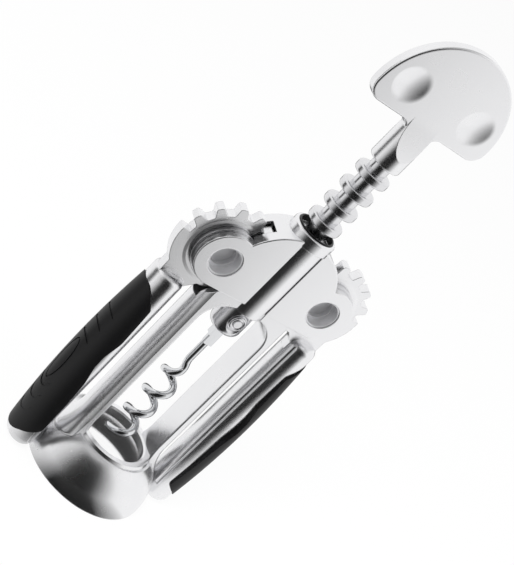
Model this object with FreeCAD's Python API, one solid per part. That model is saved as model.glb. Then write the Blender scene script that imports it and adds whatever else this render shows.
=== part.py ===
import FreeCAD, Part
import math
import os
from FreeCAD import Vector

# Wing corkscrew, standing on the mouth of its bell.
# Z runs up the screw, X runs across the two levers and the front is towards -Y.
# The origin is the centre of the bell's mouth, and all lengths are millimetres.

# Rack and pinions
tooth_module = 2.0
pinion_teeth = 14
rack_pitch_line = 4.4
ring_radius = 5.4
rack_core_radius = 3.0
ring_thickness = 2.7
ring_edge_round = 0.8
rings_below_pivot = 2
rings_above_pivot = 7
mesh_height = 0.75
tooth_tip_radius = 15.0
tooth_root_radius = 12.3
tooth_tip_width = 2.15
tooth_root_width = 3.4
tooth_tip_round = 0.7
tooth_root_round = 0.7
teeth_on_lever = 8
rack_travel = 34.0

# Barrel and ears
barrel_radius = 6.75
barrel_bottom = 74.8
collar_radius = 7.1
collar_bottom = 101.8
collar_top = 105.4
ear_half_depth = 5.8
ear_wall = 2.35
ear_boss_radius = 8.8
ear_inner_edge = 3.9
ear_bottom = 77.5
ear_top = 103.4
roof_wall = 2.0
roof_start_angle = 108.0
roof_crown_x = 11.2
roof_crown_z = 100.0
roof_crown_slope = 63.4
ear_edge_round = 0.3
pivot_z = 86.3

# Pivot pins and washers
pin_radius = 4.9
pin_bore_radius = 4.45
pin_step_radius = 3.7
pin_step_depth = 3.2
pin_web = 1.2
pin_recess = 0.35
washer_radius = 9.3
washer_thickness = 1.4

# Guide ring in the barrel's mouth
guide_wall = 0.6
guide_seat_depth = 1.6
guide_stand = 0.35
guide_edge_round = 0.2

# Frame arms
arm_inner_x = 11.5
arm_edge_x = 13.3
arm_outer_x = 15.7
arm_half_depth = 5.2
arm_round = 0.5
arch_radius = 8.5
arch_centre_x = 3.0
arch_centre_z = 66.4
arm_notch_x = 12.8
arm_notch_z = 72.2
foot_half_depth = 8.4
foot_sections = 5

# Bell
bell_radius = 21.0
bell_shoulder_radius = 18.7
bell_shoulder_z = 10.0
bell_top_radius = 14.4
bell_top_z = 14.6
bell_lip_radius = 13.6
bell_lip_height = 0.9
bell_opening_radius = 10.8
bell_wall = 2.6
bell_crown_wall = 2.2
bell_edge_round = 0.5

# Levers
plate_thickness = 3.5
plate_heel_radius = 14.7
heel_start_angle = 4.0
heel_middle_angle = -17.0
plate_reach = 4.2
plate_throat = 0.8
hub_radius = 10.2
hub_foot_radius = 11.1
hub_rise = 0.15
bar_stand = 4.3
bar_half_width = 4.9
bar_half_depth = 6.0
bar_top = 73.4
bar_bottom = 0.8
bar_top_round = 2.2
bar_tip_round = 3.2
bar_groove_angle = 41.0
bar_groove_radius = 0.9
bar_groove_depth = 0.2
bar_groove_bottom = 7.0
bell_nest_gap = 0.8

# Grips
grip_wall_root = 0.85
grip_swell = 1.65
grip_end_swell = 0.15
grip_bottom = 2.8
grip_top = 69.2
grip_end_reach = 4.9
grip_end_drop = 0.8
grip_end_fall = 9.0
grip_end_round = 0.8
grip_edge_reach = 0.2
grip_shoulder_drop = 6.6
grip_waist_reach = 1.4
grip_waist_z = 41.0
grip_waist_half_height = 2.3
grip_waist_run = 6.0
grip_heel_reach = -1.5
grip_heel_rise = 7.4
grip_foot_reach = 3.5
grip_foot_rise = 3.5
grip_toe_reach = 6.0
grip_corner_round = 1.6
grip_waist_round = 7.0
ridges_each_end = 3
ridge_half_width = 3.8
ridge_width = 1.25
upper_ridge_gap = 1.9
upper_ridge_step = 5.5
upper_ridge_drop = 0.5
lower_ridge_gap = 2.6
lower_ridge_step = 5.2
lower_ridge_rise = 3.7
badge_z = 32.1
badge_half_height = 8.3
badge_half_width = 2.7
badge_line = 0.5
relief_depth = 0.3

# Rack head, worm and cross pin
head_radius = 5.2
head_bottom = 64.5
head_round = 2.4
cross_pin_rise = 5.9
cross_pin_radius = 1.3
cross_pin_head_radius = 2.5
cross_pin_head_height = 0.8
cross_pin_head_round = 0.4
cross_pin_spot_y = 4.3
cross_pin_spot_gap = 0.3
cross_pin_groove_radius = 1.65
cross_pin_groove_width = 0.8
tang_half_width = 1.75
tang_half_depth = 1.15
tang_drop = 3.6
tang_step = 3.3
tang_top_rise = 8.7
worm_wire_radius = 1.15
worm_radius = 3.2
worm_pitch = 8.9
worm_turns = 3.75
worm_tip_z = 15.8
worm_tip_angle = 150.0
worm_point_length = 3.2
worm_run_in_turns = 0.85
worm_run_in_rise = 1.6
worm_tip_radius = 0.15
arcs_per_turn = 4
points_per_turn = 48
straight_enough = 1e-4
parallel_enough = 1e-9
tangent_step = 0.0005

# Handle
neck_radius = 5.0
neck_bottom = 132.3
neck_edge = 0.8
tongue_bottom = 136.6
tongue_top = 148.5
tenon_radius = 2.4
tenon_length = 10.2
handle_thickness = 3.6
handle_half_width = 21.1
handle_bottom = 146.2
handle_side = 0.3
handle_corner_round = 4.4
handle_neck_fillet = 3.0
handle_edge_round = 0.6
dimple_inset = 8.7
dimple_rise = 8.6
dimple_radius = 5.0
dimple_depth = 0.85
dimple_edge_round = 4.0

# Clearances
running_gap = 0.08
side_gap = 0.25
pocket_gap = 0.65
seat_gap = 0.03
tooth_gap = 0.8

# Sizes that follow from the ones above
rack_pitch = math.pi * tooth_module
pitch_radius = tooth_module * pinion_teeth / 2
pivot_x = pitch_radius + rack_pitch_line
tooth_step = 360.0 / pinion_teeth
first_tooth_angle = math.degrees(mesh_height / pitch_radius) - tooth_step
bore_radius = ring_radius + running_gap
guide_inner_radius = ring_radius + running_gap
guide_outer_radius = guide_inner_radius + guide_wall
pocket_radius = tooth_tip_radius + tooth_gap
pocket_half_depth = plate_thickness / 2 + pocket_gap
ear_inner_y = ear_half_depth - ear_wall
washer_inner_y = ear_inner_y - seat_gap - washer_thickness
bar_x = bell_radius + bar_stand
plate_outer_x = bar_x + plate_reach
handle_centre_z = handle_bottom + handle_corner_round + handle_side
dimple_x = handle_half_width - dimple_inset
dimple_z = handle_bottom + dimple_rise
cross_pin_z = head_bottom + cross_pin_rise
tang_bottom = head_bottom - tang_drop
tang_top = head_bottom + tang_top_rise
far = 300.0
Z_AXIS = Vector(0, 0, 1)
Y_AXIS = Vector(0, 1, 0)
ORIGIN = Vector(0, 0, 0)


def cylinder_z(radius, bottom, top, x=0.0, y=0.0):
    """Upright cylinder between two heights."""
    return Part.makeCylinder(radius, top - bottom, Vector(x, y, bottom), Z_AXIS)


def cylinder_y(radius, front, back, x, z):
    """Cylinder lying from front to back."""
    return Part.makeCylinder(radius, back - front, Vector(x, front, z), Y_AXIS)


def box(x0, x1, y0, y1, z0, z1):
    """Box between two corners."""
    return Part.makeBox(x1 - x0, y1 - y0, z1 - z0, Vector(x0, y0, z0))


def slab(edges, half_depth):
    """Outline in the XZ plane, made into a plate that is centred on Y."""
    face = Part.Face(Part.Wire(edges))
    face.translate(Vector(0, -half_depth, 0))
    return face.extrude(Vector(0, 2 * half_depth, 0))


def line(a, b):
    """Straight edge between two points of the XZ plane."""
    return Part.makeLine(Vector(a[0], 0, a[1]), Vector(b[0], 0, b[1]))


def arc(a, middle, b):
    """Arc through three points of the XZ plane."""
    points = [Vector(p[0], 0, p[1]) for p in (a, middle, b)]
    return Part.Arc(*points).toShape()


def turned(edges):
    """Solid of revolution about Z from a closed outline in the XZ plane."""
    return Part.Face(Part.Wire(edges)).revolve(ORIGIN, Z_AXIS, 360)


def polar(radius, angle):
    """Point of the XZ plane about the right pivot; 0 degrees is towards +X."""
    turn = math.radians(angle)
    return pivot_x + radius * math.cos(turn), pivot_z + radius * math.sin(turn)


def mirrored(shape):
    """The same shape on the left side."""
    return shape.mirror(ORIGIN, Vector(1, 0, 0))


def edges_at(shape, axis, value, tolerance=0.01):
    """Edges that lie wholly at one coordinate."""
    found = []
    for edge in shape.Edges:
        bound = edge.BoundBox
        low = getattr(bound, axis + "Min")
        high = getattr(bound, axis + "Max")
        if abs(low - value) < tolerance and abs(high - value) < tolerance:
            found.append(edge)
    return found


def make_barrel():
    """Tube that guides the rack, with a collar at its mouth and the seat of the guide ring."""
    tube = cylinder_z(barrel_radius, barrel_bottom, collar_top)
    collar = cylinder_z(collar_radius, collar_bottom, collar_top)
    collar = collar.makeFillet(ring_edge_round, edges_at(collar, "Z", collar_top))
    body = tube.common(cylinder_z(far, barrel_bottom, collar_bottom)).fuse(collar)
    body = body.cut(cylinder_z(bore_radius, barrel_bottom, collar_top))
    seat = cylinder_z(guide_outer_radius + seat_gap, collar_top - guide_seat_depth, collar_top)
    pocket = pinion_pocket()
    return body.cut([seat, pocket, mirrored(pocket)]).removeSplitter()


def pinion_pocket():
    """Room that the right pinion sweeps."""
    return cylinder_y(pocket_radius, -pocket_half_depth, pocket_half_depth, pivot_x, pivot_z)


def barrel_blank():
    """Outside of the barrel, without its bore."""
    return cylinder_z(barrel_radius, barrel_bottom, collar_bottom).fuse(
        cylinder_z(collar_radius, collar_bottom, collar_top))


def roof_arc(inset):
    """Three points of the ear's roof, moved inwards by an inset."""
    slope = math.radians(roof_crown_slope)
    return [
        polar(ear_boss_radius - inset, roof_start_angle),
        (roof_crown_x - inset * math.cos(slope), roof_crown_z - inset * math.sin(slope)),
        (ear_inner_edge, ear_top - inset),
    ]


def make_ear():
    """Right housing of the pinion: front and back plates with a roof between them."""
    start, crown, end = roof_arc(0)
    bottom = polar(ear_boss_radius, 270)
    outline = [
        line((ear_inner_edge, ear_bottom), (bottom[0], ear_bottom)),
        arc((bottom[0], ear_bottom), polar(ear_boss_radius, 0), start),
        arc(start, crown, end),
        line(end, (ear_inner_edge, ear_bottom)),
    ]
    body = slab(outline, ear_half_depth)
    rims = edges_at(body, "Y", -ear_half_depth) + edges_at(body, "Y", ear_half_depth)
    outer_rims = [edge for edge in rims if edge.BoundBox.XMax > ear_inner_edge + ear_wall]
    body = body.makeFillet(ear_edge_round, outer_rims)
    start, crown, end = roof_arc(roof_wall)
    reach = plate_outer_x
    room = slab([
        line((ear_inner_edge, ear_bottom), (reach, ear_bottom)),
        line((reach, ear_bottom), (reach, start[1])),
        line((reach, start[1]), start),
        arc(start, crown, end),
        line(end, (ear_inner_edge, ear_bottom)),
    ], ear_inner_y)
    hole = cylinder_y(pin_radius + seat_gap, -ear_half_depth, ear_half_depth, pivot_x, pivot_z)
    washer_room = cylinder_y(washer_radius + side_gap, -ear_inner_y, ear_inner_y, pivot_x, pivot_z)
    return body.cut([room, hole, washer_room, pinion_pocket(), barrel_blank()]).removeSplitter()


def make_pin():
    """Hollow right pivot pin, bored in two steps from both ends to a web in the middle."""
    end = ear_half_depth - pin_recess
    step = end - pin_step_depth
    pin = cylinder_y(pin_radius, -end, end, pivot_x, pivot_z)
    return pin.cut([
        cylinder_y(pin_bore_radius, -end, -step, pivot_x, pivot_z),
        cylinder_y(pin_step_radius, -step, -pin_web / 2, pivot_x, pivot_z),
        cylinder_y(pin_step_radius, pin_web / 2, step, pivot_x, pivot_z),
        cylinder_y(pin_bore_radius, step, end, pivot_x, pivot_z),
    ])


def make_washer(side):
    """Washer between the right lever and one wall of its ear; side is -1 in front, 1 behind."""
    near = washer_inner_y
    far_face = washer_inner_y + washer_thickness
    low, high = sorted((side * near, side * far_face))
    disc = cylinder_y(washer_radius, low, high, pivot_x, pivot_z)
    return disc.cut(cylinder_y(pin_radius + seat_gap, low, high, pivot_x, pivot_z))


def make_guide_ring():
    """Black ring in the mouth of the barrel."""
    bottom = collar_top - guide_seat_depth + seat_gap
    top = collar_top + guide_stand
    ring = cylinder_z(guide_outer_radius, bottom, top)
    ring = ring.cut(cylinder_z(guide_inner_radius, bottom, top))
    return ring.makeFillet(guide_edge_round, edges_at(ring, "Z", top))


def make_bell():
    """Dome that sits on the bottle, open below, with a lipped hole for the worm on top."""
    lip_top = bell_top_z + bell_lip_height
    inner_top = bell_top_z - bell_crown_wall
    lean = bell_lean()
    inner_shoulder = (bell_shoulder_radius - bell_wall * math.cos(lean),
                      bell_shoulder_z - bell_wall * math.sin(lean))
    outline = [
        line((bell_radius - bell_wall, 0), (bell_radius - bell_edge_round, 0)),
        line((bell_radius - bell_edge_round, 0), (bell_radius, bell_edge_round)),
        bell_flank().toShape(),
        line((bell_top_radius, bell_top_z), (bell_lip_radius, bell_top_z)),
        line((bell_lip_radius, bell_top_z), (bell_lip_radius - bell_edge_round, lip_top)),
        line((bell_lip_radius - bell_edge_round, lip_top),
             (bell_opening_radius + bell_edge_round, lip_top)),
        line((bell_opening_radius + bell_edge_round, lip_top),
             (bell_opening_radius, lip_top - bell_edge_round)),
        line((bell_opening_radius, lip_top - bell_edge_round), (bell_opening_radius, inner_top)),
        arc((bell_opening_radius, inner_top), inner_shoulder, (bell_radius - bell_wall, 0)),
    ]
    return turned(outline)


def bell_flank():
    """The outer curve of the bell, from its rim over the shoulder to its top."""
    return Part.Arc(Vector(bell_radius, 0, bell_edge_round),
                    Vector(bell_shoulder_radius, 0, bell_shoulder_z),
                    Vector(bell_top_radius, 0, bell_top_z))


def bell_lean():
    """Angle between the bell's outer curve and the upright at its shoulder."""
    flank = bell_flank()
    way = flank.tangent(flank.parameter(Vector(bell_shoulder_radius, 0, bell_shoulder_z)))[0]
    return math.atan2(abs(way.x), abs(way.z))


def arm_section(z, outer_x, edge_x, half_depth):
    """Outline of the right arm at one height: flat inside, bulging outside."""
    r = arm_round
    s = r * (1 - math.sqrt(0.5))
    inner = arm_inner_x
    front = -half_depth

    def at(x, y):
        return Vector(x, y, z)

    return Part.Wire([
        Part.makeLine(at(inner, half_depth - r), at(inner, front + r)),
        Part.Arc(at(inner, front + r), at(inner + s, front + s), at(inner + r, front)).toShape(),
        Part.makeLine(at(inner + r, front), at(edge_x, front)),
        Part.Arc(at(edge_x, front), at(outer_x, 0), at(edge_x, half_depth)).toShape(),
        Part.makeLine(at(edge_x, half_depth), at(inner + r, half_depth)),
        Part.Arc(at(inner + r, half_depth), at(inner + s, half_depth - s),
                 at(inner, half_depth - r)).toShape(),
    ])


def make_foot():
    """Flare of the right arm, which leaves the bell along its shoulder and turns upright."""
    lean = bell_lean()
    sweep = (bell_shoulder_radius - arm_outer_x) / (1 - math.cos(lean))
    top = bell_shoulder_z + sweep * math.sin(lean)
    sections = []
    for k in range(foot_sections):
        turn = lean * k / (foot_sections - 1)
        share = (1 - math.cos(turn)) / (1 - math.cos(lean))
        half_depth = arm_half_depth + share * (foot_half_depth - arm_half_depth)
        outer = arm_outer_x + share * (bell_shoulder_radius - arm_outer_x)
        bell_edge = math.sqrt(bell_shoulder_radius ** 2 - foot_half_depth ** 2)
        edge = arm_edge_x + share * (bell_edge - arm_edge_x)
        sections.append(arm_section(top - sweep * math.sin(turn), outer, edge, half_depth))
    return Part.makeLoft(sections, True, False), top


def make_web():
    """Arched web that joins the right arm to the foot of the barrel."""
    web = box(0, arm_edge_x, -arm_half_depth, arm_half_depth, arch_centre_z, ear_bottom)
    web = web.cut(cylinder_y(arch_radius, -far, far, arch_centre_x, arch_centre_z))
    web = max(web.Solids, key=lambda solid: solid.Volume)
    rims = [edge for side in (-1, 1) for edge in edges_at(web, "Y", side * arm_half_depth)
            if edge.Curve.TypeId == "Part::GeomCircle"]
    return web.makeFillet(arm_round, rims)


def solid_bell():
    """The bell without its hollow."""
    lip_top = bell_top_z + bell_lip_height
    return turned([
        line((0, 0), (bell_radius, 0)),
        line((bell_radius, 0), (bell_radius, bell_edge_round)),
        bell_flank().toShape(),
        line((bell_top_radius, bell_top_z), (bell_lip_radius, bell_top_z)),
        line((bell_lip_radius, bell_top_z), (bell_lip_radius - bell_edge_round, lip_top)),
        line((bell_lip_radius - bell_edge_round, lip_top), (0, lip_top)),
        line((0, lip_top), (0, 0)),
    ])


def make_arm():
    """Right arm of the frame: flat inside, rounded outside, arched into the barrel on top."""
    foot, foot_top = make_foot()
    section = Part.Face(arm_section(foot_top, arm_outer_x, arm_edge_x, arm_half_depth))
    bar = section.extrude(Vector(0, 0, ear_bottom - foot_top))
    notch = slab([
        line((arm_outer_x, arm_notch_z), (arm_notch_x, ear_bottom)),
        line((arm_notch_x, ear_bottom), (arm_outer_x, ear_bottom)),
        line((arm_outer_x, ear_bottom), (arm_outer_x, arm_notch_z)),
    ], far)
    body = bar.fuse([make_web(), foot])
    body = body.cut([notch, solid_bell(), pinion_pocket(), barrel_blank()])
    body = body.cut(cylinder_z(barrel_radius, 0, ear_bottom))
    return max(body.removeSplitter().Solids, key=lambda solid: solid.Volume)


def pinion_outline():
    """Closed outline of the right lever's flat plate, teeth included."""
    points = []
    for k in range(teeth_on_lever):
        angle = 180 - (first_tooth_angle + k * tooth_step)
        for radius, width, sign in (
                (tooth_root_radius, tooth_root_width, 1), (tooth_tip_radius, tooth_tip_width, 1),
                (tooth_tip_radius, tooth_tip_width, -1), (tooth_root_radius, tooth_root_width, -1)):
            offset = math.degrees(width / 2 / radius)
            points.append(polar(radius, angle + sign * offset))
    return points


def corners_at(wheel, radius):
    """Edges of the toothed wheel that run from front to back at one radius."""
    found = []
    for edge in wheel.Edges:
        bound = edge.BoundBox
        middle = edge.CenterOfMass
        reach = math.hypot(middle.x - pivot_x, middle.z - pivot_z)
        upright = bound.XLength < 0.01 and bound.ZLength < 0.01
        if upright and abs(reach - radius) < 0.01:
            found.append(edge)
    return found


def hub_face(side):
    """Low raised hub on one face of the plate; side is -1 in front, 1 behind."""
    half = plate_thickness / 2
    start = Vector(pivot_x, side * half, pivot_z)
    return Part.makeCone(hub_foot_radius, hub_radius, hub_rise, start, Vector(0, side, 0))


def make_plate():
    """Flat plate of the right lever with its gear teeth."""
    half = plate_thickness / 2
    disc = cylinder_y(tooth_root_radius, -half, half, pivot_x, pivot_z)
    teeth = []
    centre = (pivot_x, pivot_z)
    points = pinion_outline()
    for k in range(teeth_on_lever):
        a, b, c, d = points[4 * k:4 * k + 4]
        tip = polar(tooth_tip_radius, 180 - (first_tooth_angle + k * tooth_step))
        teeth.append(slab([line(centre, a), line(a, b), arc(b, tip, c), line(c, d),
                           line(d, centre)], half))
    wheel = disc.fuse(teeth).removeSplitter()
    wheel = wheel.makeFillet(tooth_root_round, corners_at(wheel, tooth_root_radius))
    wheel = wheel.makeFillet(tooth_tip_round, corners_at(wheel, tooth_tip_radius))
    hubs = [hub_face(-1), hub_face(1)]
    heel_start = polar(plate_heel_radius, heel_start_angle)
    heel_middle = polar(plate_heel_radius, heel_middle_angle)
    heel_end = (plate_outer_x, pivot_z - math.sqrt(
        plate_heel_radius ** 2 - (plate_outer_x - pivot_x) ** 2))
    inner_x = bar_x - bar_half_width
    root_z = bar_top - bar_half_width
    throat_z = bar_top - bar_top_round
    throat = (pivot_x - plate_throat, pivot_z - tooth_root_radius)
    root = slab([
        line(centre, heel_start),
        arc(heel_start, heel_middle, heel_end),
        line(heel_end, (plate_outer_x, root_z)),
        line((plate_outer_x, root_z), (inner_x, root_z)),
        line((inner_x, root_z), (inner_x, throat_z)),
        line((inner_x, throat_z), throat),
        line(throat, centre),
    ], half)
    return wheel.fuse([root] + hubs).removeSplitter()


def grip_prism():
    """Side view of the right grip, drawn through from front to back, with rounded corners."""
    def at(reach, z):
        return bar_x + reach, z

    outer = 2 * bar_half_width
    waist_top = grip_waist_z + grip_waist_half_height
    waist_bottom = grip_waist_z - grip_waist_half_height
    waist = [
        at(grip_edge_reach, waist_top + grip_waist_run), at(grip_waist_reach, waist_top),
        at(grip_waist_reach, waist_bottom), at(grip_edge_reach, waist_bottom - grip_waist_run),
    ]
    shoulder = at(grip_edge_reach, grip_top - grip_shoulder_drop)
    heel = at(grip_heel_reach, grip_bottom + grip_heel_rise)
    foot = at(grip_foot_reach, grip_bottom + grip_foot_rise)
    end = at(grip_end_reach, grip_top - grip_end_drop)
    toe = at(grip_toe_reach, grip_bottom)
    outline = [at(outer, grip_top - grip_end_fall), end, shoulder] + waist
    outline += [heel, foot, toe, at(outer, grip_bottom)]
    edges = [line(a, b) for a, b in zip(outline, outline[1:] + outline[:1])]
    prism = slab(edges, bar_half_depth * 2)

    def along_y(points):
        found = []
        for edge in prism.Edges:
            bound = edge.BoundBox
            flat = bound.XLength < 0.01 and bound.ZLength < 0.01
            near = [p for p in points if math.hypot(bound.XMin - p[0], bound.ZMin - p[1]) < 0.01]
            if flat and near:
                found.append(edge)
        return found

    prism = prism.makeFillet(grip_waist_round, along_y(waist))
    prism = prism.makeFillet(grip_end_round, along_y([end]))
    return prism.makeFillet(grip_corner_round, along_y([shoulder, heel, foot]))


def grip_body(swell):
    """Swollen body of revolution about the right bar, before it is trimmed to its outline."""
    rim = bar_half_width + grip_end_swell
    top = (rim, grip_top)
    bottom = (rim, grip_bottom)
    crown = (bar_half_width + swell, (grip_top + grip_bottom) / 2)
    body = turned([
        line((0, grip_bottom), bottom),
        arc(bottom, crown, top),
        line(top, (0, grip_top)),
        line((0, grip_top), (0, grip_bottom)),
    ])
    body.translate(Vector(bar_x, 0, 0))
    return body


def deepened(shape):
    """A shape that is round about the bar, stretched from front to back into the bar's oval."""
    stretch = FreeCAD.Matrix()
    stretch.scale(1, bar_half_depth / bar_half_width, 1)
    return shape.transformGeometry(stretch)


def make_bar():
    """Right lever's bar before its stretch, with two lengthwise grooves and the grip's seat."""
    bar = cylinder_z(bar_half_width, bar_bottom, bar_top, bar_x)
    bar = bar.makeFillet(bar_top_round, edges_at(bar, "Z", bar_top))
    bar = bar.makeFillet(bar_tip_round, edges_at(bar, "Z", bar_bottom))
    grooves = []
    for sign in (-1, 1):
        turn = math.radians(180 + sign * bar_groove_angle)
        reach = bar_half_width + bar_groove_radius - bar_groove_depth
        grooves.append(cylinder_z(bar_groove_radius, bar_groove_bottom, bar_top,
                                  bar_x + reach * math.cos(turn), reach * math.sin(turn)))
    seat_radius = bar_half_width - grip_wall_root
    seat = cylinder_z(bar_half_width + grip_swell, grip_bottom, grip_top, bar_x)
    seat = seat.cut(cylinder_z(seat_radius, grip_bottom, grip_top, bar_x))
    return bar.cut(grooves).cut(seat.common(grip_prism()))


def bell_nest():
    """Room around the bell that the lever keeps clear of."""
    grow = bell_nest_gap
    lean = bell_lean()
    rim = bell_radius + grow
    shoulder = (bell_shoulder_radius + grow * math.cos(lean),
                bell_shoulder_z + grow * math.sin(lean))
    top = (bell_top_radius + grow, bell_top_z + grow)
    return turned([
        line((0, 0), (rim, 0)),
        line((rim, 0), (rim, bell_edge_round)),
        arc((rim, bell_edge_round), shoulder, top),
        line(top, (0, bell_top_z + grow)),
        line((0, bell_top_z + grow), (0, 0)),
    ])


def make_lever():
    """Right lever: toothed plate and bar in one casting."""
    bore = cylinder_y(pin_radius + running_gap, -far, far, pivot_x, pivot_z)
    body = deepened(make_bar()).fuse(make_plate()).cut([bore, bell_nest()])
    return max(body.removeSplitter().Solids, key=lambda solid: solid.Volume)


def ridge(height, tips):
    """Lens that is sunk across the outside of the right grip; its tips lie at another height."""
    def at(y, z):
        return Vector(bar_x, y, z)

    front = at(-ridge_half_width, tips)
    back = at(ridge_half_width, tips)
    lower = Part.Arc(front, at(0, height), back).toShape()
    upper = Part.Arc(back, at(0, height + ridge_width), front).toShape()
    return Part.Face(Part.Wire([lower, upper])).extrude(Vector(far, 0, 0))


def badge_line_ring():
    """Oval ring round the plain badge on the outside of the right grip."""
    def oval(grow):
        centre = Vector(bar_x, 0, badge_z)
        tip = Vector(bar_x, 0, badge_z + badge_half_height + grow)
        side = Vector(bar_x, badge_half_width + grow, badge_z)
        face = Part.Face(Part.Wire(Part.Ellipse(tip, side, centre).toShape()))
        return face.extrude(Vector(far, 0, 0))

    return oval(0).cut(oval(-badge_line))


def grip_relief():
    """Everything that is sunk into the outside of the right grip."""
    sunk = [badge_line_ring()]
    for k in range(ridges_each_end):
        upper = badge_z + badge_half_height + upper_ridge_gap + k * upper_ridge_step
        lower = badge_z - badge_half_height - lower_ridge_gap - k * lower_ridge_step
        sunk.append(ridge(upper, upper - upper_ridge_drop))
        sunk.append(ridge(lower, lower + lower_ridge_rise))
    floor = deepened(grip_body(grip_swell - relief_depth))
    return [shape.cut(floor) for shape in sunk]


def make_grip():
    """Right soft grip, wrapped round the outer half of the bar, with ridges and a plain badge."""
    seat_radius = bar_half_width - grip_wall_root + seat_gap
    shell = grip_body(grip_swell).cut(cylinder_z(seat_radius, 0, far, bar_x))
    shell = deepened(shell.common(grip_prism())).cut([make_plate()] + grip_relief())
    return max(shell.Solids, key=lambda solid: solid.Volume)


def make_rack():
    """Stem with ring teeth, the head that holds the worm, and a tenon for the handle."""
    body = cylinder_z(rack_core_radius, head_bottom + head_round, neck_bottom)
    first_ring = pivot_z + mesh_height + rack_pitch / 2
    for k in range(-rings_below_pivot, rings_above_pivot):
        centre = first_ring + k * rack_pitch
        ring = cylinder_z(ring_radius, centre - ring_thickness / 2, centre + ring_thickness / 2)
        ring = ring.makeFillet(ring_edge_round, edges_at(ring, "Z", centre - ring_thickness / 2)
                               + edges_at(ring, "Z", centre + ring_thickness / 2))
        body = body.fuse(ring)
    lowest = first_ring - rings_below_pivot * rack_pitch - ring_thickness / 2
    head = cylinder_z(head_radius, head_bottom, lowest - ring_edge_round)
    head = head.makeFillet(head_round, edges_at(head, "Z", head_bottom))
    tenon = cylinder_z(tenon_radius, neck_bottom, neck_bottom + tenon_length)
    body = body.fuse([head, tenon])
    socket = tang_block(seat_gap, 0, tang_top + seat_gap)
    cross = cylinder_y(cross_pin_radius + seat_gap, -far, far, 0, cross_pin_z)
    spots = []
    for side in (-1, 1):
        start = Vector(0, side * cross_pin_spot_y, cross_pin_z)
        floor_radius = cross_pin_head_radius + cross_pin_spot_gap
        depth = head_radius - cross_pin_spot_y
        spots.append(Part.makeCone(floor_radius, floor_radius + depth, depth, start,
                                   Vector(0, side, 0)))
    return body.cut([socket, cross] + spots).removeSplitter()


def tang_block(grow, bottom, top):
    """Flat tang of the worm, or its socket in the rack's head when grown by a gap."""
    wide = tang_half_width + grow
    deep = tang_half_depth + grow
    return box(-wide, wide, -deep, deep, bottom, top)


def make_cross_pin():
    """Rivet through the rack's head and the worm's shank."""
    pin = cylinder_y(cross_pin_radius, -cross_pin_spot_y, cross_pin_spot_y, 0, cross_pin_z)
    heads = []
    for sign in (-1, 1):
        inner = cross_pin_spot_y + seat_gap
        low, high = sorted((sign * inner, sign * (inner + cross_pin_head_height)))
        head = cylinder_y(cross_pin_head_radius, low, high, 0, cross_pin_z)
        outer = sign * (inner + cross_pin_head_height)
        head = head.makeFillet(cross_pin_head_round, edges_at(head, "Y", outer))
        centre = Vector(0, outer, cross_pin_z)
        groove = Part.makeTorus(cross_pin_groove_radius, cross_pin_groove_width / 2,
                                centre, Y_AXIS)
        heads.append(head.cut(groove))
    reach = cross_pin_spot_y + 2 * seat_gap
    stub = cylinder_y(cross_pin_radius, -reach, reach, 0, cross_pin_z)
    return pin.fuse(heads + [stub]).removeSplitter()


def worm_point(turn):
    """Point of the worm's centre line; turn counts whole turns from the tip."""
    angle = math.radians(worm_tip_angle + 360 * turn)
    height = worm_tip_z + worm_pitch * turn
    fade = max(0.0, turn - (worm_turns - worm_run_in_turns)) / worm_run_in_turns
    radius = worm_radius * (1 - fade ** 2 * (3 - 2 * fade))
    rise = worm_run_in_rise * fade ** 2
    return Vector(radius * math.cos(angle), radius * math.sin(angle), height + rise)


def worm_tangent(turn):
    """Direction of the worm's centre line."""
    return (worm_point(turn + tangent_step) - worm_point(turn - tangent_step)).normalize()


def arc_from(start, direction, end):
    """Arc that leaves a point in a direction and reaches another point."""
    chord = end - start
    along = Vector(chord).normalize()
    cosine = max(-1.0, min(1.0, direction.dot(along)))
    sideways = direction - along * cosine
    if sideways.Length < straight_enough:
        return Part.makeLine(start, end)
    bulge = chord.Length / 2 * math.tan(math.acos(cosine) / 2)
    middle = (start + end) * 0.5 + sideways.normalize() * bulge
    return Part.Arc(start, middle, end).toShape()


def biarc(start, start_way, end, end_way):
    """Two arcs that join two points smoothly, with given directions at both."""
    gap = end - start
    ways = start_way + end_way
    spread = 2 * (1 - start_way.dot(end_way))
    reach = gap.dot(ways)
    if spread < parallel_enough:
        length = gap.dot(gap) / (2 * reach)
    else:
        length = (-reach + math.sqrt(reach ** 2 + spread * gap.dot(gap))) / spread
    joint = (start + start_way * length + end - end_way * length) * 0.5
    first = arc_from(start, start_way, joint)
    second = arc_from(end, end_way * -1, joint)
    second.reverse()
    return [first, second]


def make_worm():
    """Pointed wire worm with its flat tang, right-handed, one unbroken tube."""
    steps = int(round(worm_turns * arcs_per_turn))
    path = []
    for k in range(steps):
        a = worm_turns * k / steps
        b = worm_turns * (k + 1) / steps
        path += biarc(worm_point(a), worm_tangent(a), worm_point(b), worm_tangent(b))
    end = worm_point(worm_turns)
    base = Vector(0, 0, tang_bottom + worm_wire_radius)
    path += biarc(end, worm_tangent(worm_turns), base, Z_AXIS)
    start = worm_point(0)
    way = worm_tangent(0)
    ring = Part.Wire(Part.makeCircle(worm_wire_radius, start, way))
    wire = Part.Wire(path).makePipeShell([ring], True, False)
    point = Part.makeCone(worm_wire_radius, worm_tip_radius, worm_point_length, start, way * -1)
    notch = box(-tang_half_width, -tang_half_width / 2, -far, far, tang_bottom - tang_step,
                tang_bottom)
    tang = tang_block(0, tang_bottom - tang_step, tang_top).cut(notch)
    tang = tang.cut(cylinder_y(cross_pin_radius + seat_gap, -far, far, 0, cross_pin_z))
    return wire.fuse(point).fuse(tang)


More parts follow.
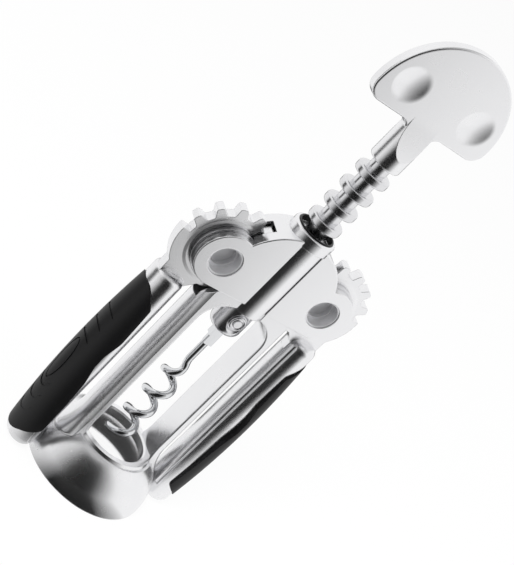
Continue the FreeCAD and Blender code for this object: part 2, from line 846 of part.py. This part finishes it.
def handle_outline():
    """Closed outline of the handle's plate and neck in the XZ plane."""
    w = handle_half_width
    r = handle_corner_round
    f = handle_neck_fillet
    n = neck_radius - neck_edge / 2
    s = math.sqrt(0.5)
    corner_z = handle_bottom + r
    bend = (n + f - f * s, handle_bottom - f + f * s)
    half = [
        line((n, tongue_bottom), (n, handle_bottom - f)),
        arc((n, handle_bottom - f), bend, (n + f, handle_bottom)),
        line((n + f, handle_bottom), (w - r, handle_bottom)),
        arc((w - r, handle_bottom), (w - r + r * s, corner_z - r * s), (w, corner_z)),
        line((w, corner_z), (w, handle_centre_z)),
    ]
    crown = arc((w, handle_centre_z), (0, handle_centre_z + w), (-w, handle_centre_z))
    base = line((-n, tongue_bottom), (n, tongue_bottom))
    other = [mirrored(edge) for edge in reversed(half)]
    return half + [crown] + other + [base]


def neck_profile():
    """Side view of the neck, which thins along an arc from its round foot to the plate."""
    half = handle_thickness / 2
    drop = neck_radius - half
    run = tongue_top - tongue_bottom
    sweep = (run ** 2 + drop ** 2) / (2 * drop)
    middle_z = tongue_top - run / 2
    middle_y = half + sweep - math.sqrt(sweep ** 2 - (run / 2) ** 2)

    def at(y, z):
        return Vector(0, y, z)

    sides = []
    for side in (-1, 1):
        sides.append(Part.makeLine(at(side * neck_radius, neck_bottom),
                                   at(side * neck_radius, tongue_bottom)))
        sides.append(Part.Arc(at(side * neck_radius, tongue_bottom), at(side * middle_y, middle_z),
                              at(side * half, tongue_top)).toShape())
    ends = [Part.makeLine(at(-half, tongue_top), at(half, tongue_top)),
            Part.makeLine(at(-neck_radius, neck_bottom), at(neck_radius, neck_bottom))]
    return Part.Face(Part.Wire(Part.__sortEdges__(sides + ends)))


def make_handle():
    """Fan-shaped turning handle with two finger dimples and its round neck."""
    half = handle_thickness / 2
    plate = slab(handle_outline(), half)
    rims = edges_at(plate, "Y", half) + edges_at(plate, "Y", -half)
    upper = [edge for edge in rims if edge.BoundBox.ZMax > handle_bottom - handle_neck_fillet / 2]
    plate = plate.makeFillet(handle_edge_round, upper)
    neck = cylinder_z(neck_radius, neck_bottom, tongue_top)
    neck = neck.makeFillet(neck_edge, edges_at(neck, "Z", neck_bottom))
    profile = neck_profile()
    profile.translate(Vector(-neck_radius, 0, 0))
    body = plate.fuse(neck.common(profile.extrude(Vector(2 * neck_radius, 0, 0))))
    ball = (dimple_radius ** 2 + dimple_depth ** 2) / (2 * dimple_depth)
    dimples = []
    for side in (-1, 1):
        for face in (-1, 1):
            centre_y = face * (half + ball - dimple_depth)
            dimples.append(Part.makeSphere(ball, Vector(side * dimple_x, centre_y, dimple_z)))
    body = body.cut(dimples).removeSplitter()
    rims = [edge for edge in edges_at(body, "Y", half) + edges_at(body, "Y", -half)
            if edge.Curve.TypeId == "Part::GeomCircle"
            and abs(edge.Curve.Center.z - dimple_z) < dimple_depth]
    body = body.makeFillet(dimple_edge_round, rims)
    bore = cylinder_z(tenon_radius + seat_gap, neck_bottom, neck_bottom + tenon_length + seat_gap)
    return body.cut(bore)


def save(name, shape):
    """Write one piece to its own file."""
    shape.exportStep("parts/" + name + ".step")
    print(name, round(shape.Volume, 1), "mm3", len(shape.Solids), "solid", shape.isValid())


def worm_gap():
    """Least gap of the worm's wire to itself, measured on points half a turn or more apart."""
    points = [worm_point(k / points_per_turn) for k in range(int(worm_turns * points_per_turn) + 1)]
    apart = points_per_turn // 2
    nearest = min((a - b).Length for i, a in enumerate(points) for b in points[i + apart:])
    return nearest - 2 * worm_wire_radius


os.makedirs("parts", exist_ok=True)
arm = make_arm()
ear = make_ear()
pin = make_pin()
lever = make_lever()
grip = make_grip()
save("bell", make_bell())
save("barrel", make_barrel())
save("guide_ring", make_guide_ring())
for side, place in (("right", lambda shape: shape), ("left", mirrored)):
    save(side + "_frame_arm", place(arm))
    save(side + "_ear_housing", place(ear))
    save(side + "_pivot_pin", place(pin))
    save(side + "_front_washer", place(make_washer(-1)))
    save(side + "_back_washer", place(make_washer(1)))
    save(side + "_lever", place(lever))
    save(side + "_grip", place(grip))
save("rack", make_rack())
save("cross_pin", make_cross_pin())
save("worm", make_worm())
save("handle", make_handle())
print("worm: gap between turns", round(worm_gap(), 2), "mm")
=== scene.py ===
# %% [markdown]
# # A wing corkscrew in a small white studio
# The solids of the corkscrew come ready made, at their real size and in their real places.
# This lesson gives every surface its finish, then sets the table, the lamps, the black cloth
# and the camera. All lengths are metres, Z runs up the screw, and the front of the tool is
# towards -Y.

import math

import bpy
from mathutils import Matrix, Vector

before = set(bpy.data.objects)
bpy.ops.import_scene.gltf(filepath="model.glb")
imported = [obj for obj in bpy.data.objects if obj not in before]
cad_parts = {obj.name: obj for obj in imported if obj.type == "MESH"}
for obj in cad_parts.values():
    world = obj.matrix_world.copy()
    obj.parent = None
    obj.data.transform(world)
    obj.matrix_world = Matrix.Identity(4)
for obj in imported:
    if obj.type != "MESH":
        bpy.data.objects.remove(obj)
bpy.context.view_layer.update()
mm = 0.001

# %% [markdown]
# ## Helpers for every material
# Colours are easiest to read as the hex values of a paint chart, but a renderer adds up light,
# so one function turns each chart value into linear light. A second function adds a node to a
# material with its settings, links and input values, so each finish below reads like a recipe.


# %% Colour and node helpers
def linear(hex_value):
    """Linear RGBA of an sRGB hex value such as #C0C0C4."""
    parts = [int(hex_value[i:i + 2], 16) / 255 for i in (1, 3, 5)]
    return [c / 12.92 if c <= 0.04045 else ((c + 0.055) / 1.055) ** 2.4 for c in parts] + [1.0]


def add(tree, kind, settings=None, links=None, inputs=None):
    """Add a node: settings are its properties, inputs its socket values, links what feeds it."""
    node = tree.nodes.new(kind)
    for name, value in (settings or {}).items():
        setattr(node, name, value)
    for name, value in (inputs or {}).items():
        node.inputs[name].default_value = value
    for name, source in (links or {}).items():
        tree.links.new(source, node.inputs[name])
    return node


def start(name, surface):
    """New material whose surface shader has the given socket values."""
    material = bpy.data.materials.new(name)
    material.use_nodes = True
    tree = material.node_tree
    tree.nodes.clear()
    shader = add(tree, "ShaderNodeBsdfPrincipled", inputs=surface)
    out = add(tree, "ShaderNodeOutputMaterial", links={"Surface": shader.outputs["BSDF"]})
    return material, tree, shader, out


print("mid grey of the paint chart in linear light:", round(linear("#808080")[0], 3))

# %% [markdown]
# ## Patterns that the finishes share
# A real surface is never the same all over, so each finish starts from a noise that is fixed to
# the solid. The noise moves the colour between two close tones, moves the gloss between two
# values, and raises the skin by a few hundredths of a millimetre.


# %% Pattern helpers
def noise(tree, place, **inputs):
    """Noise from 0 to 1 over a place, with the given socket values."""
    return add(tree, "ShaderNodeTexNoise", links={"Vector": place}, inputs=inputs).outputs["Fac"]


def squeezed(tree, place, scale):
    """Place that is scaled along X, Y and Z, which squeezes a noise along the large ones."""
    mapping = add(tree, "ShaderNodeMapping", links={"Vector": place}, inputs={"Scale": scale})
    return mapping.outputs["Vector"]


def tone(tree, factor, pair):
    """Colour from the first to the second of two hex values as the factor grows."""
    ramp = add(tree, "ShaderNodeValToRGB", links={"Fac": factor})
    for stop, hex_value in zip(ramp.color_ramp.elements, pair):
        stop.color = linear(hex_value)
    return ramp.outputs["Color"]


def gloss(tree, factor, pair):
    """Roughness from the first to the second of two values as the factor grows."""
    span = add(tree, "ShaderNodeMapRange", links={"Value": factor},
               inputs={"To Min": pair[0], "To Max": pair[1]})
    return span.outputs["Result"]


def skin(tree, height, strength, depth, edge_radius=None, edge_samples=None):
    """Normal of a skin that the height raises; with a radius, its edges look rounded too."""
    bump = add(tree, "ShaderNodeBump", links={"Height": height},
               inputs={"Strength": strength, "Distance": depth})
    if edge_radius:
        edge = add(tree, "ShaderNodeBevel", {"samples": edge_samples},
                   inputs={"Radius": edge_radius})
        tree.links.new(edge.outputs["Normal"], bump.inputs["Normal"])
    return bump.outputs["Normal"]


def feed(tree, shader, sources):
    """Feed sockets of a shader by their names."""
    for name, source in sources.items():
        tree.links.new(source, shader.inputs[name])


print("pattern helpers:", [step.__name__ for step in (noise, squeezed, tone, gloss, skin, feed)])

# %% [markdown]
# ## Plated zinc die casting
# Bell, arms, ears, barrel, levers and handle are cast in zinc and plated with satin nickel.
# The casting is tumbled before plating, so its light rolls softly over the edges and breaks up
# in faint clouds a few millimetres wide. A bevel node rounds the light on each edge the way
# tumbling does. One noise drives the clouds in tone and gloss, and a finer one drives the tiny
# waves of the skin.
# The bell is buffed on a wheel instead. Its own rim is already round in the solid, and the
# wheel leaves fine rings round its axis.

# %% Satin nickel over cast zinc
nickel_tones = ("#EAEAEC", "#F3F3F4")
nickel_gloss = (0.23, 0.30)
cloud_size = 9 * mm
skin_wave = 0.6 * mm
buffing_feed = 0.5 * mm
skin_depth = 0.05 * mm
skin_strength = 0.02
tumbled_edge = 0.3 * mm
tumbled_samples = 8


def satin_zinc(name, buffed):
    """Plated casting, buffed round Z or else tumbled."""
    material, tree, shader, _ = start(name, {"Metallic": 1.0})
    place = add(tree, "ShaderNodeTexCoord").outputs["Object"]
    clouds = noise(tree, place, Scale=1 / cloud_size, Detail=3.0, Roughness=0.55)
    scale = (1 / skin_wave, 1 / skin_wave, 1 / skin_wave)
    if buffed:
        scale = (1 / cloud_size, 1 / cloud_size, 1 / buffing_feed)
    waves = noise(tree, squeezed(tree, place, scale), Scale=1.0, Detail=2.0)
    edge = None if buffed else tumbled_edge
    feed(tree, shader, {
        "Base Color": tone(tree, clouds, nickel_tones),
        "Roughness": gloss(tree, clouds, nickel_gloss),
        "Normal": skin(tree, waves, skin_strength, skin_depth, edge, tumbled_samples)})
    return material


zinc = satin_zinc("satin_nickel_on_zinc", False)
buffed_zinc = satin_zinc("buffed_nickel_on_zinc", True)
print("clouds per metre:", round(1 / cloud_size), "rings per metre:", round(1 / buffing_feed))

# %% [markdown]
# ## Turned steel
# The rack, pins and washers are turned on a lathe. The tool leaves fine rings round the axis,
# so the noise is squeezed along the axis until each ring is a thin line, and its bump scatters
# the light across the rings. The hollow pivot pins are frosted with a thin matte plating, and
# that matte share catches lamp light deep inside their bores.

# %% Turned steel
steel_tones = ("#D8D8DA", "#E8E8EA")
turning_feed = 0.12 * mm
ring_length = 20 * mm
ring_depth = 0.02 * mm
ring_strength = 0.12
turned_edge = 0.25 * mm
turned_samples = 6
axis_y, axis_z = 1, 2


def turned_steel(name, axis, roughness, metal=1.0):
    """Steel with fine rings round one axis of the frame."""
    material, tree, shader, _ = start(name, {"Metallic": metal})
    place = add(tree, "ShaderNodeTexCoord").outputs["Object"]
    scale = [1 / turning_feed if i == axis else 1 / ring_length for i in range(3)]
    rings = noise(tree, squeezed(tree, place, scale), Scale=1.0, Detail=2.0)
    feed(tree, shader, {
        "Base Color": tone(tree, rings, steel_tones),
        "Roughness": gloss(tree, rings, roughness),
        "Normal": skin(tree, rings, ring_strength, ring_depth, turned_edge, turned_samples)})
    return material


rack_steel = turned_steel("turned_steel_rack", axis_z, (0.18, 0.28))
rivet_steel = turned_steel("turned_steel_rivet", axis_y, (0.12, 0.2))
washer_steel = turned_steel("turned_steel_washers", axis_y, (0.2, 0.3))
pin_steel = turned_steel("frosted_steel_pins", axis_y, (0.36, 0.46), metal=0.75)
print("turned rings per metre:", round(1 / turning_feed))

# %% [markdown]
# ## Polished chrome
# The worm is wire with bright chrome on it. Chrome is close to a mirror, so nearly all of its
# look comes from what stands around it, and only a trace of drawing waviness is left in it.

# %% Chrome on the worm
drawing_wave = 1.5 * mm
drawing_depth = 0.05 * mm
drawing_strength = 0.15


def polished_chrome(name):
    """Bright chrome on drawn wire."""
    material, tree, shader, _ = start(name, {
        "Metallic": 1.0, "Roughness": 0.05, "Base Color": linear("#DCDDDF")})
    place = add(tree, "ShaderNodeTexCoord").outputs["Object"]
    waves = noise(tree, place, Scale=1 / drawing_wave, Detail=1.0)
    feed(tree, shader, {"Normal": skin(tree, waves, drawing_strength, drawing_depth)})
    return material


chrome = polished_chrome("polished_chrome")
print("worm:", chrome.name)

# %% [markdown]
# ## Soft-touch rubber and black nylon
# The grips are moulded over the levers in a black thermoplastic rubber. Its mould is spark
# eroded, which leaves a fine even grain, and that grain is why it looks deep black and matte.
# The guide ring is a harder black nylon, a little glossier.

# %% Moulded blacks
black_tones = ("#0A0A0B", "#101011")
spark_grain = 0.35 * mm
grain_strength = 0.35


def moulded_black(name, roughness, depth):
    """Black plastic with the even grain of its mould."""
    material, tree, shader, _ = start(name, {
        "Metallic": 0.0, "IOR": 1.5, "Roughness": roughness, "Specular IOR Level": 0.3})
    place = add(tree, "ShaderNodeTexCoord").outputs["Object"]
    grain = noise(tree, place, Scale=1 / spark_grain, Detail=3.0)
    feed(tree, shader, {"Base Color": tone(tree, grain, black_tones),
                        "Normal": skin(tree, grain, grain_strength, depth)})
    return material


rubber = moulded_black("soft_touch_rubber", roughness=0.5, depth=0.02 * mm)
nylon = moulded_black("black_nylon", roughness=0.42, depth=0.01 * mm)
print("grains per metre:", round(1 / spark_grain))

# %% [markdown]
# ## Dress each solid
# Every solid keeps its mesh and only gets its finish. What isn't listed is plated casting.

# %% Assign the finishes
finish_of = {"bell": buffed_zinc, "rack": rack_steel, "worm": chrome, "cross_pin": rivet_steel,
             "guide_ring": nylon}
for side in ("left", "right"):
    finish_of[side + "_grip"] = rubber
    finish_of[side + "_pivot_pin"] = pin_steel
    finish_of[side + "_front_washer"] = washer_steel
    finish_of[side + "_back_washer"] = washer_steel


def dress(solid, material):
    """Give one solid its finish, in all of its material slots."""
    if not solid.data.materials:
        solid.data.materials.append(material)
    for slot in solid.material_slots:
        slot.material = material


for name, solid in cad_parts.items():
    dress(solid, finish_of.get(name, zinc))
print("dressed:", len(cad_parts))

# %% [markdown]
# ## The table
# The photograph is a cut-out on pure white, so the table is a wide pale sheet that keeps the
# tool's soft shadow. For whatever looks straight at it, which is the camera and the mirrors of
# the metal, most of the sheet's light is its own, so it is nearly as white as the room.

# %% Table
table_half = 4.0
own_light = 0.92
bpy.ops.mesh.primitive_plane_add(size=2 * table_half, location=(0, 0, 0))
table = bpy.context.object
table.name = "table_sheet"


def seen_directly(tree):
    """1 for rays from the camera, from a mirror or through glass, and 0 for the others."""
    path = add(tree, "ShaderNodeLightPath").outputs
    mirror = add(tree, "ShaderNodeMath", {"operation": "MAXIMUM"},
                 {0: path["Is Camera Ray"], 1: path["Is Glossy Ray"]})
    glass = add(tree, "ShaderNodeMath", {"operation": "MAXIMUM"},
                {0: mirror.outputs[0], 1: path["Is Transmission Ray"]})
    return glass.outputs[0]


def paper_white(name):
    """Pale paper that adds light of its own for the rays that see it directly."""
    material = bpy.data.materials.new(name)
    material.use_nodes = True
    tree = material.node_tree
    tree.nodes.clear()
    sheet = add(tree, "ShaderNodeBsdfDiffuse", inputs={"Color": linear("#F4F4F4")})
    lift = add(tree, "ShaderNodeEmission", inputs={"Color": linear("#FFFFFF"), "Strength": 1.0})
    part = add(tree, "ShaderNodeMath", {"operation": "MULTIPLY"}, {0: seen_directly(tree)},
               {1: own_light})
    mix = add(tree, "ShaderNodeMixShader",
              links={0: part.outputs[0], 1: sheet.outputs[0], 2: lift.outputs[0]})
    add(tree, "ShaderNodeOutputMaterial", links={"Surface": mix.outputs[0]})
    return material


table.data.materials.append(paper_white("white_paper"))
print("table:", table.name, "with", own_light, "of its light its own")

# %% [markdown]
# ## The white room
# The room is white for the same rays. Plain diffuse surfaces get a dimmer room, so that the
# lamps shape them.

# %% White room
room_for_surfaces = 0.55
world = bpy.data.worlds.new("white_room")
bpy.context.scene.world = world
world.use_nodes = True
room = world.node_tree
room.nodes.clear()
soft = add(room, "ShaderNodeBackground",
           inputs={"Color": linear("#FFFFFF"), "Strength": room_for_surfaces})
white = add(room, "ShaderNodeBackground", inputs={"Color": linear("#FFFFFF"), "Strength": 1.0})
choose = add(room, "ShaderNodeMixShader",
             links={0: seen_directly(room), 1: soft.outputs[0], 2: white.outputs[0]})
add(room, "ShaderNodeOutputWorld", links={"Surface": choose.outputs[0]})
print("room for plain surfaces:", room_for_surfaces)

# %% [markdown]
# ## Lamps
# Two large soft boxes light the rubber and the table. The metal takes its light from the white
# room and the sheet, so the lamps are kept out of its mirrors and leave no hot spots there.

# %% Soft boxes
middle = Vector((0, 0, 85 * mm))
box_side = 0.5


def soft_box(name, place, power):
    """Square lamp that faces the middle of the tool and stays out of its mirrors."""
    data = bpy.data.lights.new(name, "AREA")
    data.size = box_side
    data.energy = power
    lamp = bpy.data.objects.new(name, data)
    lamp.location = place
    lamp.rotation_euler = (middle - Vector(place)).to_track_quat("-Z", "Y").to_euler()
    lamp.visible_glossy = False
    bpy.context.collection.objects.link(lamp)
    print(name, "of", power, "W")


soft_box("key_box", place=(-0.55, -0.45, 0.85), power=9.0)
soft_box("fill_box", place=(0.75, -0.55, 0.45), power=3.5)

# %% [markdown]
# ## Black cloth for the mirrors
# Metal shows its shape by what it mirrors. Photographers hang black cloth around the camera, so
# that each round form gets a dark band between its highlights. The cloth is sheer towards its
# sides, which fades the edges of the bands. Only mirrors see it, and it casts no shadow.
# How dense the weave is follows a measure: the bearing for a cloth that hangs round the tool,
# and the distance from the middle for a round one. A bearing of 0 degrees is straight in front
# of the tool, and 90 degrees is on its right.


# %% The weave of the cloth
def bearing_of(tree, place):
    """Bearing of a place round the tool, in degrees."""
    parts = add(tree, "ShaderNodeSeparateXYZ", links={"Vector": place})
    front = add(tree, "ShaderNodeMath", {"operation": "MULTIPLY"}, {0: parts.outputs["Y"]},
                {1: -1.0})
    bearing = add(tree, "ShaderNodeMath", {"operation": "ARCTAN2"},
                  {0: parts.outputs["X"], 1: front.outputs[0]})
    degrees = add(tree, "ShaderNodeMath", {"operation": "DEGREES"}, {0: bearing.outputs[0]})
    return degrees.outputs[0]


def reach_of(tree, place):
    """Distance of a place from the middle of its cloth."""
    reach = add(tree, "ShaderNodeVectorMath", {"operation": "LENGTH"}, {0: place})
    return reach.outputs["Value"]


def black_cloth(name, measure, sheer):
    """Cloth material; sheer lists how dense the weave is as a measure grows."""
    material, tree, shader, out = start(name, {"Base Color": linear("#161616"),
                                               "Roughness": 0.9})
    low = sheer[0][0]
    high = sheer[-1][0]
    place = add(tree, "ShaderNodeTexCoord").outputs["Object"]
    share = add(tree, "ShaderNodeMapRange", links={"Value": measure(tree, place)},
                inputs={"From Min": low, "From Max": high})
    weave = add(tree, "ShaderNodeValToRGB", links={"Fac": share.outputs["Result"]})
    stops = weave.color_ramp.elements
    while len(stops) < len(sheer):
        stops.new(0.5)
    for stop, (value, dense) in zip(stops, sheer):
        stop.position = (value - low) / (high - low)
        stop.color = (dense, dense, dense, 1.0)
    holes = add(tree, "ShaderNodeBsdfTransparent")
    mix = add(tree, "ShaderNodeMixShader",
              links={0: weave.outputs["Color"], 1: holes.outputs[0], 2: shader.outputs[0]})
    feed(tree, out, {"Surface": mix.outputs[0]})
    return material


print("a cloth is woven by:", bearing_of.__name__, "or", reach_of.__name__)

# %% [markdown]
# ## Two cuts of cloth
# A hung cloth lies on the sheet, from a place near the tool to a wall that curves round it, and
# rises there. It is made of flat columns, narrow enough to look curved. A round cloth lies
# level, over the tool or under it.

# %% Hung cloth and round cloth
cloth_lift = 0.2 * mm
cloth_columns = 48
round_corners = 64


def only_in_mirrors(cloth):
    """Hide a cloth from every ray but those that leave a mirror."""
    for rays in ("camera", "diffuse", "shadow", "transmission", "volume_scatter"):
        setattr(cloth, "visible_" + rays, False)
    print("cloth:", cloth.name)


def hang_cloth(name, near, wall, height, sheer):
    """Cloth that lies on the sheet from near to wall and rises there; it stays in mirrors."""
    low = sheer[0][0]
    high = sheer[-1][0]
    points = []
    for k in range(cloth_columns + 1):
        bearing = math.radians(low + (high - low) * k / cloth_columns)
        for reach, lift in ((near, cloth_lift), (wall, cloth_lift), (wall, height)):
            points.append((reach * math.sin(bearing), -reach * math.cos(bearing), lift))
    faces = [(3 * k + j, 3 * k + 3 + j, 3 * k + 4 + j, 3 * k + 1 + j)
             for k in range(cloth_columns) for j in (0, 1)]
    mesh = bpy.data.meshes.new(name)
    mesh.from_pydata(points, [], faces)
    cloth = bpy.data.objects.new(name, mesh)
    bpy.context.collection.objects.link(cloth)
    mesh.materials.append(black_cloth(name + "_weave", bearing_of, sheer))
    only_in_mirrors(cloth)


def round_cloth(name, radius, height, sheer):
    """Level round cloth over or under the tool; it stays in mirrors."""
    bpy.ops.mesh.primitive_circle_add(vertices=round_corners, radius=radius,
                                      fill_type="NGON", location=(0, 0, height))
    cloth = bpy.context.object
    cloth.name = name
    cloth.data.materials.append(black_cloth(name + "_weave", reach_of, sheer))
    only_in_mirrors(cloth)


# %% [markdown]
# ## Hang the cloth
# The camera cloth begins at the bell's rim and climbs a high wall. It is what makes the long
# dark bands on the bell, the barrel and the lever bars. A lower cloth stands on the left, and a
# low band stands behind the tool on the right. A dark disc under the bell is painted shade: only
# mirrors see it, and it stands in for the shade inside the bell's hollow. A sheer ceiling greys
# the faces that look up.
# Each list gives a bearing in degrees or a distance, and how dense the weave is there.

# %% Cloth in its places
wall_reach = 0.30
bell_rim = 21.3 * mm
beyond_grips = 60 * mm
bell_mouth = 17.6 * mm
ceiling_reach = 0.55

hang_cloth("camera_cloth", near=bell_rim, wall=wall_reach, height=0.60, sheer=(
    (-88, 0.1), (-72, 0.35), (-58, 0.75), (-48, 1.0), (0, 1.0), (9, 0.8), (20, 0.55),
    (30, 0.3), (37, 0.0)))
hang_cloth("side_cloth", near=beyond_grips, wall=wall_reach, height=0.20, sheer=(
    (-128, 0.0), (-120, 1.0), (-106, 1.0), (-98, 0.0)))
hang_cloth("far_cloth", near=beyond_grips, wall=wall_reach, height=0.06, sheer=(
    (112, 0.0), (119, 0.9), (168, 0.9), (175, 0.0)))
# Painted shade: a dark disc that only mirrors see, in place of the shade inside the bell's
# hollow.
round_cloth("painted_shade_under_bell", radius=bell_mouth, height=cloth_lift, sheer=(
    (0, 0.95), (bell_mouth, 0.95)))
round_cloth("sheer_ceiling", radius=ceiling_reach, height=0.75, sheer=(
    (0.25, 0.45), (ceiling_reach, 0.0)))

# %% [markdown]
# ## The camera
# The photograph was solved for its camera from the circles of the bell, ears and rings. The
# camera looks down from the front left, and it is rolled by half a right angle, which is why
# the tool lies on the diagonal of the picture. The solution gives the focal length in pixels,
# and the long side of the picture turns it into the millimetres that a lens is sold by.

# %% Camera
camera_azimuth = math.radians(36.57)
camera_rise = math.radians(23.14)
camera_roll = math.radians(44.85)
camera_distance = 408.97 * mm
camera_target = Vector((-1.90, 0.0, 82.45)) * mm
focal_in_pixels = 1467.95
long_side_in_pixels = 565.0
sensor_in_mm = 36.0

back = Vector((-math.sin(camera_azimuth) * math.cos(camera_rise),
               -math.cos(camera_azimuth) * math.cos(camera_rise),
               math.sin(camera_rise)))
across = Vector((math.cos(camera_azimuth), -math.sin(camera_azimuth), 0))
upward = back.cross(across)
right = math.cos(camera_roll) * across + math.sin(camera_roll) * upward
top = back.cross(right)
data = bpy.data.cameras.new("camera")
data.sensor_width = sensor_in_mm
data.lens = focal_in_pixels * sensor_in_mm / long_side_in_pixels
camera = bpy.data.objects.new("camera", data)
turn = Matrix((right, top, back)).transposed().to_4x4()
camera.matrix_world = Matrix.Translation(camera_target + back * camera_distance) @ turn
bpy.context.collection.objects.link(camera)
bpy.context.scene.camera = camera
print("lens:", round(data.lens, 1), "mm")

# %% [markdown]
# ## The picture
# The picture is shown as it is, with no film look on top.

# %% Finish
bpy.context.scene.view_settings.view_transform = "Standard"
